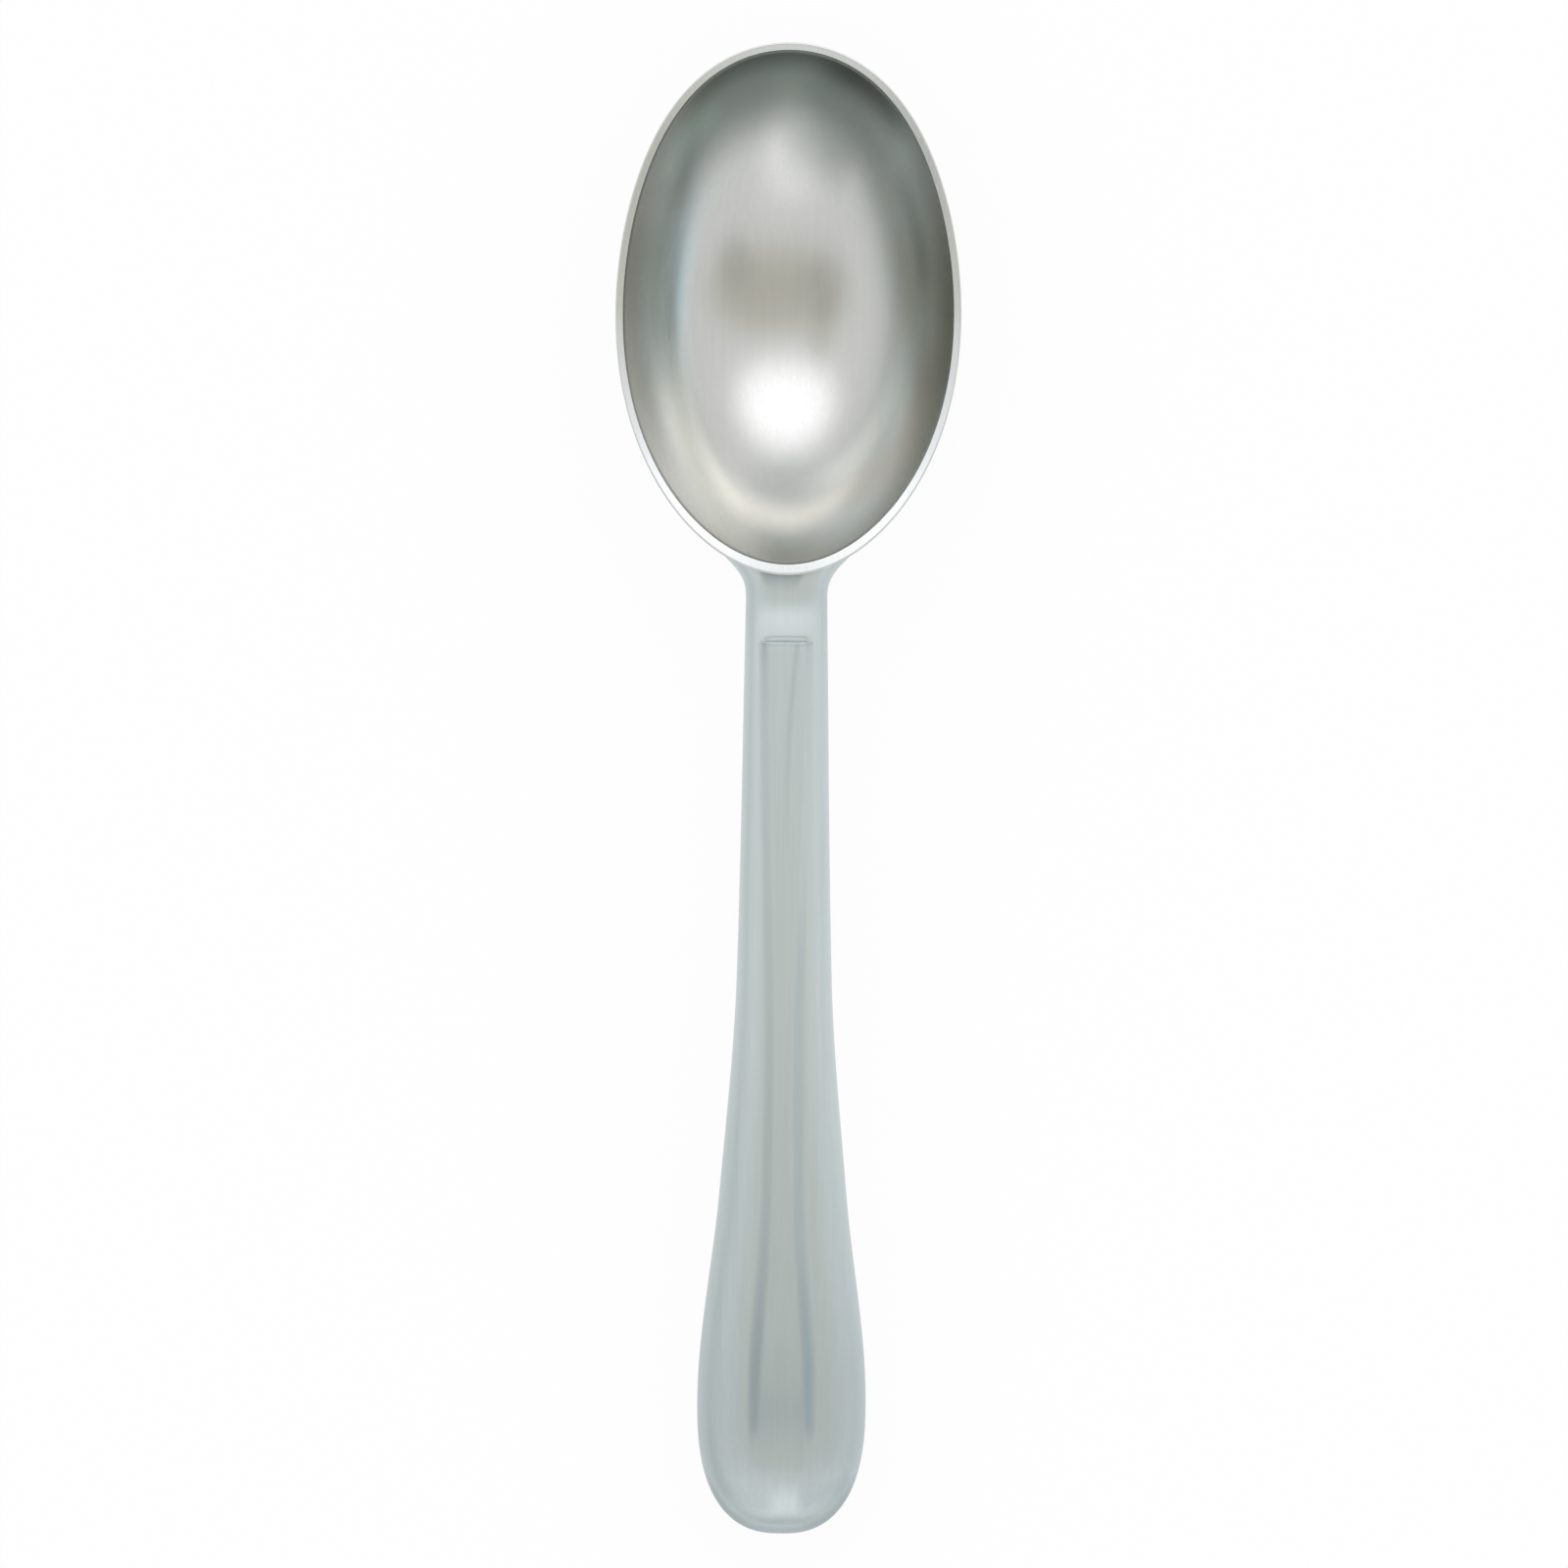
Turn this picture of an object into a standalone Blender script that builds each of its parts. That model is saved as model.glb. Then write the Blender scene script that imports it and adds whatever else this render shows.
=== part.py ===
"""Ice cream spoon: a deep drawn steel bowl on a hollow handle of two pressed steel shells.

The spoon lies on its back. +Y runs along it towards the bowl's tip, +X is to the right seen from
above, and +Z is up, out of the open bowl. The origin is on the surface that the spoon lies on,
below the middle of its length. All sizes are in metres.

"Back" is a distance behind the bowl's root, the point where the lip passes over the handle.
"""

import math

import bmesh
import bpy
from mathutils import Vector

# Bowl
BOWL_LENGTH = 0.0750
BOWL_WIDTH = 0.0487
BOWL_WIDEST_FROM_TIP = 0.0382
BOWL_HEIGHT = 0.0155            # lip over the foot, where the bowl is widest
RIM_ROOT_RISE = 0.0028          # how much higher the lip stands over the handle
RIM_TIP_RISE = 0.0008           # and at the tip
RIM_BEND = 1.5                  # higher keeps the lip level for longer, seen from the side
BOWL_WALL = 0.0011
BOWL_FOOT_LENGTH = 0.0135
BOWL_TIP_FULLNESS = 0.10        # how much squarer than an ellipse the outline is towards the tip
BOWL_ROOT_FULLNESS = -0.05      # and towards the root, where it is more pointed
BOWL_SIDE_ROUNDNESS = 0.5       # 1 gives a plain parabolic wall, less gives a steeper one
BOWL_END_ROUNDNESS = 0.9        # the same at the tip and the root
LIP_WIDTH = 0.00105             # ground lip, at the tip and the sides
LIP_ROOT_WIDTH = 0.0015         # and over the handle
LIP_ROOT_FOCUS = 4              # higher keeps the wide stretch of the lip closer to the root
LIP_FALL = 0.00015              # how far the lip falls towards the inside
LIP_EDGE = 0.00015              # broken outer edge of the lip

# Handle, in four lengths from the bowl's root to the butt, with its width at the end of each
SHANK_LENGTH = 0.0570
TAPER_LENGTH = 0.0300
SWELL_LENGTH = 0.0295
BUTT_LENGTH = 0.0185
NECK_WIDTH = 0.01145
WAIST_WIDTH = 0.0134
TAPER_WIDTH = 0.0179
BUTT_WIDTH = 0.02375
BUTT_FULLNESS = 2.5             # superellipse exponent of the rounded butt, seen from above
BUTT_SIDE_FULLNESS = 3.5        # and from the side
SECTION_FULLNESS = 3.2          # superellipse exponent of the handle's cross-section

# Handle seen from the side
NECK_DROP = 0.0013              # step from the lip down to the neck
CROWN_BACK = 0.0450             # highest point of the handle
CROWN_RISE = 0.0007             # rise of the top from the neck to the crown
NECK_THICKNESS = 0.0076
CROWN_THICKNESS = 0.0100
BUTT_THICKNESS = 0.0150
LAND_LENGTH = 0.0185            # flat under the butt that the handle lies on
LAND_WIDTH = 0.0060
LAND_NECK_SHARE = 0.2           # share of the flat's width that is left under the neck

# Neck where it runs into the bowl: its sides flare, and its underside runs down into a heel
FLARE_BACK = 0.0034             # start of the flare
FLARE_LENGTH = 0.0084
FLARE_WIDTH = 0.0046            # how far each side stands out
FLARE_EASE = 1.5                # higher keeps the flare closer to the bowl
HEEL_DROP = 0.0040              # how far the heel runs down the outside of the bowl
HEEL_BLEND = 0.7                # slope of the heel where it meets the bowl, as a share of the bowl's
HEEL_TAPER = 0.9                # 1 narrows the heel to a point, less leaves its end blunt

# Flute pressed into the top of the handle, with the plain band left on each side of it
FLUTE_BACK = 0.0085
FLUTE_DEPTH = 0.00035
FLUTE_START_BAND = 0.00235
FLUTE_WAIST_BAND = 0.00388
FLUTE_BUTT_BAND = 0.00740
FLUTE_EDGE = 0.0007             # width of the sloping edge
FLUTE_CORNER = 0.0009           # corner radius at the squared front end
FLUTE_FADE_LENGTH = 0.0100
FLUTE_FROM_BUTT = 0.0085        # plain stretch between the faded end and the butt

# Sheet, filler and tang
SHELL_WALL = 0.0010
TANG_LENGTH = 0.0450
TANG_BED = 0.0015               # filler between the tang and the shells
TANG_NOTCH_BACK = 0.0150        # middle of the first notch
TANG_NOTCH_PITCH = 0.0130
TANG_NOTCH_COUNT = 2
TANG_NOTCH_DEPTH = 0.0009
TANG_NOTCH_LENGTH = 0.0040
FILLER_BACK = 0.0020            # filler stops short of the weld at the bowl

# Clearance between neighbouring pieces
FIT_GAP = 0.0003

# Facets
BOWL_SEGMENTS = 48
BOWL_RINGS = 10
RING_SPREAD = 0.85              # below 1 sets the rings closer together on the steep part of the wall
SIDE_STEPS = 5
UNDER_STEPS = 6
BODY_STEP = 0.0070
BUTT_STEPS = 7
FLARE_STEPS = 10
CREASE_ANGLE = math.radians(32)

# Worked out from the sizes above
HANDLE_LENGTH = SHANK_LENGTH + TAPER_LENGTH + SWELL_LENGTH + BUTT_LENGTH
BUTT_BACK = HANDLE_LENGTH - BUTT_LENGTH
LAND_BACK = BUTT_BACK - LAND_LENGTH
FLUTE_END_BACK = HANDLE_LENGTH - FLUTE_FROM_BUTT
TIP_Y = (BOWL_LENGTH + HANDLE_LENGTH) / 2
ROOT_Y = TIP_Y - BOWL_LENGTH
BOWL_CENTRE_Y = TIP_Y - BOWL_WIDEST_FROM_TIP
ROOT_FROM_CENTRE = BOWL_LENGTH - BOWL_WIDEST_FROM_TIP
NECK_TOP = BOWL_HEIGHT + RIM_ROOT_RISE - NECK_DROP
CROWN_TOP = NECK_TOP + CROWN_RISE
NECK_BOTTOM = NECK_TOP - NECK_THICKNESS
CROWN_BOTTOM = CROWN_TOP - CROWN_THICKNESS
ROOT_ANGLE = -math.pi / 2
TANG_HALF_WIDTH = NECK_WIDTH / 2 - SHELL_WALL - TANG_BED
TANG_HALF_THICKNESS = NECK_THICKNESS / 2 - SHELL_WALL - TANG_BED


def clear_scene():
    for old in list(bpy.data.objects):
        bpy.data.objects.remove(old, do_unlink=True)


def new_collection(name):
    group = bpy.data.collections.new(name)
    bpy.context.scene.collection.children.link(group)
    return group


def new_finish(name, colour, roughness, metallic):
    """Principled material with one colour."""
    finish = bpy.data.materials.new(name)
    finish.use_nodes = True
    shader = finish.node_tree.nodes["Principled BSDF"]
    shader.inputs["Base Color"].default_value = (*colour, 1.0)
    shader.inputs["Roughness"].default_value = roughness
    shader.inputs["Metallic"].default_value = metallic
    return finish


def ease(stations, at):
    """Smooth value at a distance, through (distance, value) stations, level at the last one."""
    if at <= stations[0][0]:
        return stations[0][1]
    chords = []
    for (start, low), (end, high) in zip(stations, stations[1:]):
        chords.append((high - low) / (end - start))
    slopes = [chords[0]]
    for before, after in zip(chords, chords[1:]):
        same_way = before * after > 0
        slopes.append(2 * before * after / (before + after) if same_way else 0.0)
    slopes.append(0.0)
    for i, ((start, low), (end, high)) in enumerate(zip(stations, stations[1:])):
        if at <= end:
            span = end - start
            t = (at - start) / span
            rise = low + (high - low) * t * t * (3 - 2 * t)
            bend = slopes[i] * t * (1 - t) ** 2 - slopes[i + 1] * t * t * (1 - t)
            return rise + span * bend
    return stations[-1][1]


def smooth_step(share):
    share = min(max(share, 0.0), 1.0)
    return share * share * (3 - 2 * share)


def superellipse(share, exponent):
    """Height of a unit superellipse at a share of its half width."""
    return (1 - min(share, 1.0) ** exponent) ** (1 / exponent)


# Bowl

def bowl_outline(angle, inset):
    """Point of the lip's outline from the bowl's centre, moved inwards by inset."""
    c, s = math.cos(angle), math.sin(angle)
    half = BOWL_WIDTH / 2
    length = BOWL_LENGTH / 2
    skew = BOWL_WIDEST_FROM_TIP - length
    even = (BOWL_TIP_FULLNESS + BOWL_ROOT_FULLNESS) / 2
    odd = (BOWL_TIP_FULLNESS - BOWL_ROOT_FULLNESS) / 2
    fullness = 1 + s * s * (even + odd * s)
    point = Vector((half * c * fullness, length * s + skew * s * s))
    along_x = half * (-s * fullness + c * c * s * (2 * even + 3 * odd * s))
    along_y = length * c + 2 * skew * s * c
    inward = Vector((-along_y, along_x)).normalized()
    return point + inward * inset


def wall_rise(share, angle):
    """Share of the wall's height reached at a share of the way from the centre to the lip."""
    towards_ends = math.sin(angle) ** 2
    roundness = BOWL_SIDE_ROUNDNESS + (BOWL_END_ROUNDNESS - BOWL_SIDE_ROUNDNESS) * towards_ends
    return roundness * share ** 2 + (1 - roundness) * share ** 4


FOOT_SHARE = BOWL_FOOT_LENGTH / BOWL_LENGTH


def outside_height(share, angle):
    """Height of the outside above the flat foot, before the lip's lift."""
    foot_rise = wall_rise(FOOT_SHARE, angle)
    height = BOWL_HEIGHT * (wall_rise(share, angle) - foot_rise) / (1 - foot_rise)
    return min(height, BOWL_HEIGHT - LIP_EDGE)


def lip_height(share, angle):
    return BOWL_HEIGHT


def inside_height(share, angle):
    depth = BOWL_HEIGHT - LIP_FALL - BOWL_WALL
    return BOWL_WALL + depth * wall_rise(share, angle)


def rim_lift(angle):
    """How much higher the lip is than at the bowl's widest point."""
    along = math.sin(angle)
    rise = RIM_TIP_RISE if along > 0 else RIM_ROOT_RISE
    return rise * abs(along) ** RIM_BEND


def lift_share(share):
    """Share of the lip's lift that the wall follows: none on the foot, all of it at the lip."""
    if share <= FOOT_SHARE:
        return 0.0
    return ((share ** 2 - FOOT_SHARE ** 2) / (1 - FOOT_SHARE ** 2)) ** 2


def root_height(share):
    """Height of the outside along the middle of the spoon, between the centre and the root."""
    return outside_height(share, ROOT_ANGLE) + RIM_ROOT_RISE * lift_share(share)


def root_slope(share):
    step = 1e-4
    climb = (root_height(share + step) - root_height(share - step)) / (2 * step)
    return climb / ROOT_FROM_CENTRE


def root_reach(height):
    """Share of the way from the centre to the root where the outside has reached a height."""
    low, high = FOOT_SHARE, 1.0
    for _ in range(40):
        middle = (low + high) / 2
        if root_height(middle) < height:
            low = middle
        else:
            high = middle
    return high


HEEL_HEIGHT = max(NECK_BOTTOM - HEEL_DROP, BOWL_WALL)
HEEL_SHARE = root_reach(HEEL_HEIGHT)
HEEL_LENGTH = ROOT_FROM_CENTRE * (1 - HEEL_SHARE)
HEEL_SLOPE = HEEL_BLEND * root_slope(HEEL_SHARE)
NECK_FRONT = -HEEL_LENGTH - BOWL_WALL


def bowl_ring(share, height_at, inset_at, raised=0.0):
    """Closed ring: the outline, moved in by inset_at(angle) and shrunk by share, at its height."""
    ring = []
    for i in range(BOWL_SEGMENTS):
        angle = 2 * math.pi * i / BOWL_SEGMENTS
        flat = bowl_outline(angle, inset_at(angle)) * share
        height = height_at(share, angle) + rim_lift(angle) * lift_share(share)
        ring.append(Vector((flat.x, flat.y, height + raised)))
    return ring


def lip_inset(angle):
    """Width of the lip, which grows towards the root."""
    towards_root = max(0.0, -math.sin(angle)) ** LIP_ROOT_FOCUS
    return LIP_WIDTH + (LIP_ROOT_WIDTH - LIP_WIDTH) * towards_root


def wall_shares():
    """Shares from the foot to the lip, closer together on the steep part of the wall."""
    for i in range(BOWL_RINGS + 1):
        yield FOOT_SHARE + (1 - FOOT_SHARE) * (i / BOWL_RINGS) ** RING_SPREAD


def bowl_rings():
    """Foot, outside, broken edge, lip and inside, down to the middle of the bowl."""
    shares = list(wall_shares())
    rings = [bowl_ring(share, outside_height, lambda angle: 0.0) for share in shares]
    rings.append(bowl_ring(1.0, lip_height, lambda angle: LIP_EDGE))
    for share in reversed([0.0, FOOT_SHARE / 2] + shares):
        rings.append(bowl_ring(share, inside_height, lip_inset))
    return rings


def bowl_clearance_rings():
    """The space that the bowl takes up, open inside included, grown by the fit gap."""
    rings = []
    for share in wall_shares():
        rings.append(bowl_ring(share, outside_height, lambda angle: -FIT_GAP, -FIT_GAP))
    rings.append(bowl_ring(1.0, lip_height, lambda angle: -FIT_GAP, FIT_GAP))
    return rings


# Handle

def flare(back):
    """How far each side of the neck stands out where it runs into the bowl."""
    along = min(max(FLARE_BACK - back, 0.0) / FLARE_LENGTH, 1.0)
    return FLARE_WIDTH * smooth_step(along ** FLARE_EASE)


def heel_narrowing(back):
    """Share of the flared width that is left on the heel, in front of the flare."""
    flare_front = FLARE_BACK - FLARE_LENGTH
    if back >= flare_front:
        return 1.0
    return superellipse(HEEL_TAPER * (flare_front - back) / (flare_front - NECK_FRONT), 2)


def handle_half_width(back):
    stations = [
        (FLARE_BACK, NECK_WIDTH),
        (SHANK_LENGTH, WAIST_WIDTH),
        (SHANK_LENGTH + TAPER_LENGTH, TAPER_WIDTH),
        (BUTT_BACK, BUTT_WIDTH),
    ]
    return (ease(stations, back) / 2 + flare(back)) * heel_narrowing(back)


def handle_top(back):
    """Low arch of two parabolas that meet level at the crown."""
    if back < CROWN_BACK:
        return CROWN_TOP - CROWN_RISE * (1 - back / CROWN_BACK) ** 2
    past = (back - CROWN_BACK) / (BUTT_BACK - CROWN_BACK)
    return CROWN_TOP - (CROWN_TOP - BUTT_THICKNESS) * past ** 2


def handle_bottom(back):
    return ease([(0.0, NECK_BOTTOM), (CROWN_BACK, CROWN_BOTTOM), (LAND_BACK, 0.0)], back)


def seam_height(back):
    return (handle_top(back) + handle_bottom(back)) / 2


def heel_fall(back):
    """How far the neck's underside has come down on its way to the outside of the bowl."""
    run = 2 * (NECK_BOTTOM - HEEL_HEIGHT) / HEEL_SLOPE
    into_heel = max(run - HEEL_LENGTH - back, 0.0)
    return HEEL_SLOPE * into_heel ** 2 / (2 * run)


def flute_half_width(back):
    bands = [
        (FLUTE_BACK, FLUTE_START_BAND),
        (SHANK_LENGTH, FLUTE_WAIST_BAND),
        (BUTT_BACK, FLUTE_BUTT_BAND),
    ]
    half = handle_half_width(back) - ease(bands, back)
    into_corner = FLUTE_CORNER - max(back - FLUTE_BACK, 0.0)
    if into_corner > 0:
        half -= FLUTE_CORNER - math.sqrt(FLUTE_CORNER ** 2 - into_corner ** 2)
    return half


def flute_strength(back):
    """1 where the flute is fully pressed in, 0 where the handle's top is plain."""
    started = smooth_step((back - FLUTE_BACK) / FLUTE_EDGE + 0.5)
    faded = smooth_step((FLUTE_END_BACK - back) / FLUTE_FADE_LENGTH)
    return started * faded


def butt_share(back):
    return max(0.0, back - BUTT_BACK) / BUTT_LENGTH


def upper_arc(back, inset, seam_gap):
    """Front of the handle's section from +X to -X, as (x, height over the seam)."""
    share = butt_share(back)
    narrowing = superellipse(share, BUTT_FULLNESS)
    half = (handle_half_width(back) - inset) * narrowing
    full_crown = handle_top(back) - seam_height(back) - inset
    crown = full_crown * superellipse(share, BUTT_SIDE_FULLNESS)
    outer_edge = (flute_half_width(back) + FLUTE_EDGE / 2) * narrowing
    inner_edge = (flute_half_width(back) - FLUTE_EDGE / 2) * narrowing
    edge_share = outer_edge / half if half > 0 else 0.0
    edge_angle = math.acos(edge_share ** (SECTION_FULLNESS / 2))
    power = 2 / SECTION_FULLNESS
    side = []
    for i in range(SIDE_STEPS + 1):
        angle = edge_angle * i / SIDE_STEPS
        side.append((half * math.cos(angle) ** power, crown * math.sin(angle) ** power))
    floor = side[-1][1] - FLUTE_DEPTH
    pressed = flute_strength(back)
    inner_share = inner_edge / half if half > 0 else 0.0
    plain = crown * superellipse(inner_share, SECTION_FULLNESS)
    side.append((inner_edge, plain + (floor - plain) * pressed))
    middle = (0.0, crown + (floor - crown) * pressed)
    arc = side + [middle] + [(-x, z) for x, z in reversed(side)]
    lift = 1 - seam_gap / (2 * full_crown)
    return [(x, seam_gap / 2 + z * lift) for x, z in arc]


def lower_arc(back, inset, seam_gap):
    """Back of the handle's section from -X to +X, as (x, height over the seam)."""
    share = butt_share(back)
    narrowing = superellipse(share, BUTT_FULLNESS)
    half = (handle_half_width(back) - inset) * narrowing
    full_depth = seam_height(back) - handle_bottom(back) + heel_fall(back) - inset
    depth = full_depth * superellipse(share, BUTT_SIDE_FULLNESS)
    spread = LAND_NECK_SHARE + (1 - LAND_NECK_SHARE) * smooth_step(back / LAND_BACK)
    land = LAND_WIDTH / BUTT_WIDTH * half * spread
    power = 2 / SECTION_FULLNESS
    side = []
    for i in range(UNDER_STEPS + 1):
        angle = math.pi / 2 * i / UNDER_STEPS
        x = land + (half - land) * max(math.cos(angle), 0.0) ** power
        side.append((-x, -depth * math.sin(angle) ** power))
    arc = side + [(-x, z) for x, z in reversed(side)]
    lift = 1 - seam_gap / (2 * full_depth)
    return [(x, z * lift - seam_gap / 2) for x, z in arc]


def place_arc(arc, back, inset):
    """Arc points in the handle's frame: root at the origin, handle along -Y."""
    along = -back + inset * butt_share(back)
    seam = seam_height(back)
    return [Vector((x, along, seam + z)) for x, z in arc]


def handle_stations(front):
    """Distances behind the root for the handle's sections, close together where the form turns."""
    neck = FLARE_BACK - NECK_FRONT
    backs = [NECK_FRONT + neck * i / FLARE_STEPS for i in range(FLARE_STEPS + 1)]
    backs += [FLUTE_BACK - FLUTE_EDGE / 2, FLUTE_BACK + FLUTE_EDGE / 2]
    for start, end in ((FLUTE_BACK + FLUTE_CORNER, LAND_BACK), (LAND_BACK, BUTT_BACK)):
        steps = max(1, round((end - start) / BODY_STEP))
        backs += [start + (end - start) * i / steps for i in range(steps)]
    for i in range(BUTT_STEPS + 1):
        backs.append(BUTT_BACK + BUTT_LENGTH * math.sin(math.pi / 2 * i / BUTT_STEPS))
    return [front] + [back for back in sorted(backs) if back > front]


def shell_rings(arc):
    """C-shaped sections of one half shell: its outside, then its inside on the way back."""
    rings = []
    for back in handle_stations(NECK_FRONT):
        outside = place_arc(arc(back, 0.0, FIT_GAP), back, 0.0)
        inside = place_arc(arc(back, SHELL_WALL, FIT_GAP), back, SHELL_WALL)
        rings.append(outside + inside[::-1])
    return rings


def filler_rings():
    """Full sections, a fit gap inside the shells."""
    inset = SHELL_WALL + FIT_GAP
    rings = []
    for back in handle_stations(FILLER_BACK):
        upper = upper_arc(back, inset, 0.0)
        lower = lower_arc(back, inset, 0.0)
        rings.append(place_arc(upper + lower[1:-1], back, inset))
    return rings


# Tang

def tang_stations(front, grown):
    """(back, half width) along the bar, stepped at the notches, grown on every side."""
    wide = TANG_HALF_WIDTH + grown
    narrow = wide - TANG_NOTCH_DEPTH
    flat = TANG_NOTCH_LENGTH / 2 - grown
    sloped = flat + TANG_NOTCH_DEPTH / 2
    stations = [(front, wide), (0.0, wide)]
    for i in range(TANG_NOTCH_COUNT):
        middle = TANG_NOTCH_BACK + TANG_NOTCH_PITCH * i
        stations += [(middle - sloped, wide), (middle - flat, narrow)]
        stations += [(middle + flat, narrow), (middle + sloped, wide)]
    stations.append((TANG_LENGTH + grown, wide))
    return stations


def tang_rings(front, grown):
    """Upright rectangles that follow the seam's height."""
    thick = TANG_HALF_THICKNESS + grown
    rings = []
    for back, half in tang_stations(front, grown):
        seam = seam_height(back)
        corners = ((half, thick), (-half, thick), (-half, -thick), (half, -thick))
        rings.append([Vector((x, -back, seam + z)) for x, z in corners])
    return rings


# Building the pieces

def loft(name, rings, group):
    """Closed body through rings of equal count, capped at each end or run to a point there."""
    shape = bmesh.new()
    rows = [[shape.verts.new(point) for point in ring] for ring in rings]
    count = len(rows[0])
    for row, following in zip(rows, rows[1:]):
        for i in range(count):
            j = (i + 1) % count
            shape.faces.new((row[i], row[j], following[j], following[i]))
    shape.faces.new(rows[0])
    shape.faces.new(rows[-1])
    bmesh.ops.remove_doubles(shape, verts=shape.verts, dist=1e-7)
    bmesh.ops.recalc_face_normals(shape, faces=shape.faces)
    mesh = bpy.data.meshes.new(name)
    shape.to_mesh(mesh)
    shape.free()
    mesh.shade_smooth()
    mesh.set_sharp_from_angle(angle=CREASE_ANGLE)
    piece = bpy.data.objects.new(name, mesh)
    group.objects.link(piece)
    return piece


def make_cutter(name, rings, group):
    cutter = loft(name, rings, group)
    cutter.hide_render = True
    cutter.display_type = 'WIRE'
    return cutter


def cut(piece, cutter):
    modifier = piece.modifiers.new(cutter.name, 'BOOLEAN')
    modifier.operation = 'DIFFERENCE'
    modifier.solver = 'EXACT'
    modifier.object = cutter


def build():
    clear_scene()
    parts = new_collection("ice_cream_spoon")
    cutters = new_collection("cutters")
    polished = new_finish("polished_steel", (0.58, 0.58, 0.56), 0.22, 1.0)
    satin = new_finish("satin_steel", (0.52, 0.57, 0.57), 0.38, 1.0)
    plain = new_finish("plain_steel", (0.40, 0.41, 0.42), 0.50, 1.0)
    cement = new_finish("cement", (0.55, 0.53, 0.50), 0.90, 0.0)

    frame = bpy.data.objects.new("spoon_frame", None)
    parts.objects.link(frame)
    bowl_place = Vector((0.0, BOWL_CENTRE_Y, 0.0))
    root_place = Vector((0.0, ROOT_Y, 0.0))

    bowl_space = make_cutter("bowl_space", bowl_clearance_rings(), cutters)
    tang_space = make_cutter("tang_space", tang_rings(-FIT_GAP, FIT_GAP), cutters)
    bowl_space.location = bowl_place
    tang_space.location = root_place

    bowl = loft("bowl", bowl_rings(), parts)
    front_shell = loft("handle_front_shell", shell_rings(upper_arc), parts)
    back_shell = loft("handle_back_shell", shell_rings(lower_arc), parts)
    tang = loft("tang", tang_rings(NECK_FRONT, 0.0), parts)
    filler = loft("handle_filler", filler_rings(), parts)

    for piece in (front_shell, back_shell, tang):
        cut(piece, bowl_space)
    cut(filler, tang_space)

    bowl.location = bowl_place
    for piece in (front_shell, back_shell, tang, filler):
        piece.location = root_place
    finishes = (
        (bowl, polished),
        (front_shell, satin),
        (back_shell, satin),
        (tang, plain),
        (filler, cement),
    )
    for piece, finish in finishes:
        piece.parent = frame
        piece.data.materials.append(finish)


build()
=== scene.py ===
import math

import bmesh
import bpy
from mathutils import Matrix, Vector


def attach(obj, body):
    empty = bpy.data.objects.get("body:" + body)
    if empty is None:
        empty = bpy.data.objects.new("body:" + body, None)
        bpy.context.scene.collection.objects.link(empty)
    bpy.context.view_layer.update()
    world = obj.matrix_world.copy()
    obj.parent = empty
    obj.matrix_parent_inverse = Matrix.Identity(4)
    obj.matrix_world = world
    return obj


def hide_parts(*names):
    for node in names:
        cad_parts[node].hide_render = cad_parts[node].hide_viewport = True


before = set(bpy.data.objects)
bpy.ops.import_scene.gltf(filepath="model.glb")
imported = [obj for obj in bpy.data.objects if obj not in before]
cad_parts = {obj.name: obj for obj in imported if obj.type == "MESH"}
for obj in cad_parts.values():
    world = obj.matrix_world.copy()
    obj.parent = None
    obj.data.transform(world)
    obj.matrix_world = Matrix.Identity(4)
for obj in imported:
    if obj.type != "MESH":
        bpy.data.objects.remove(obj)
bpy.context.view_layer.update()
print("frame loaded")


# small helpers for node trees

def plug(tree, socket, value):
    if isinstance(value, bpy.types.NodeSocket):
        tree.links.new(value, socket)
    else:
        socket.default_value = value


def feed(tree, step, values):
    for socket, value in zip(step.inputs, values):
        plug(tree, socket, value)


def calc(tree, operation, *values):
    step = tree.nodes.new("ShaderNodeMath")
    step.operation = operation
    feed(tree, step, values)
    return step.outputs[0]


def vectorCalc(tree, operation, *values):
    step = tree.nodes.new("ShaderNodeVectorMath")
    step.operation = operation
    feed(tree, step, values)
    return step.outputs["Value" if operation in ("LENGTH", "DOT_PRODUCT") else "Vector"]


def easeBetween(tree, value, start, end, low, high):
    step = tree.nodes.new("ShaderNodeMapRange")
    step.interpolation_type = "SMOOTHSTEP"
    feed(tree, step, (value, start, end, low, high))
    return step.outputs["Result"]


def mixColours(tree, factor, first, second):
    step = tree.nodes.new("ShaderNodeMix")
    step.data_type = "RGBA"
    for name, value in (("Factor_Float", factor), ("A_Color", first), ("B_Color", second)):
        plug(tree, next(s for s in step.inputs if s.identifier == name), value)
    return next(s for s in step.outputs if s.identifier == "Result_Color")


def addBump(tree, shader, height, strength, depth):
    bump = tree.nodes.new("ShaderNodeBump")
    bump.inputs["Strength"].default_value = strength
    bump.inputs["Distance"].default_value = depth
    tree.links.new(height, bump.inputs["Height"])
    tree.links.new(bump.outputs["Normal"], shader.inputs["Normal"])


# finishes

bowlPolish = {
    "light": (0.605, 0.605, 0.592, 1.0),
    "dark": (0.590, 0.590, 0.577, 1.0),
    "takesPaintedLight": True,           # multiplied by the mesh's painted light attribute, which holds painted shade and painted highlights
    "roughness": (0.22, 0.26),
    "across": 0.0,
    "lineWidth": 0.0009,      # polishing lines, metres across
    "lineLength": 0.045,
    "lineDepth": 0.0000005,
}

handleSatin = {
    "light": (0.690, 0.746, 0.760, 1.0),
    "dark": (0.664, 0.719, 0.733, 1.0),
    "takesPaintedLight": True,
    "roughness": (0.40, 0.46),
    "across": 0.68,           # how much wider the sheen spreads across the brushing
    "lineWidth": 0.0007,
    "lineLength": 0.060,
    "lineDepth": 0.000002,
}

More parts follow.
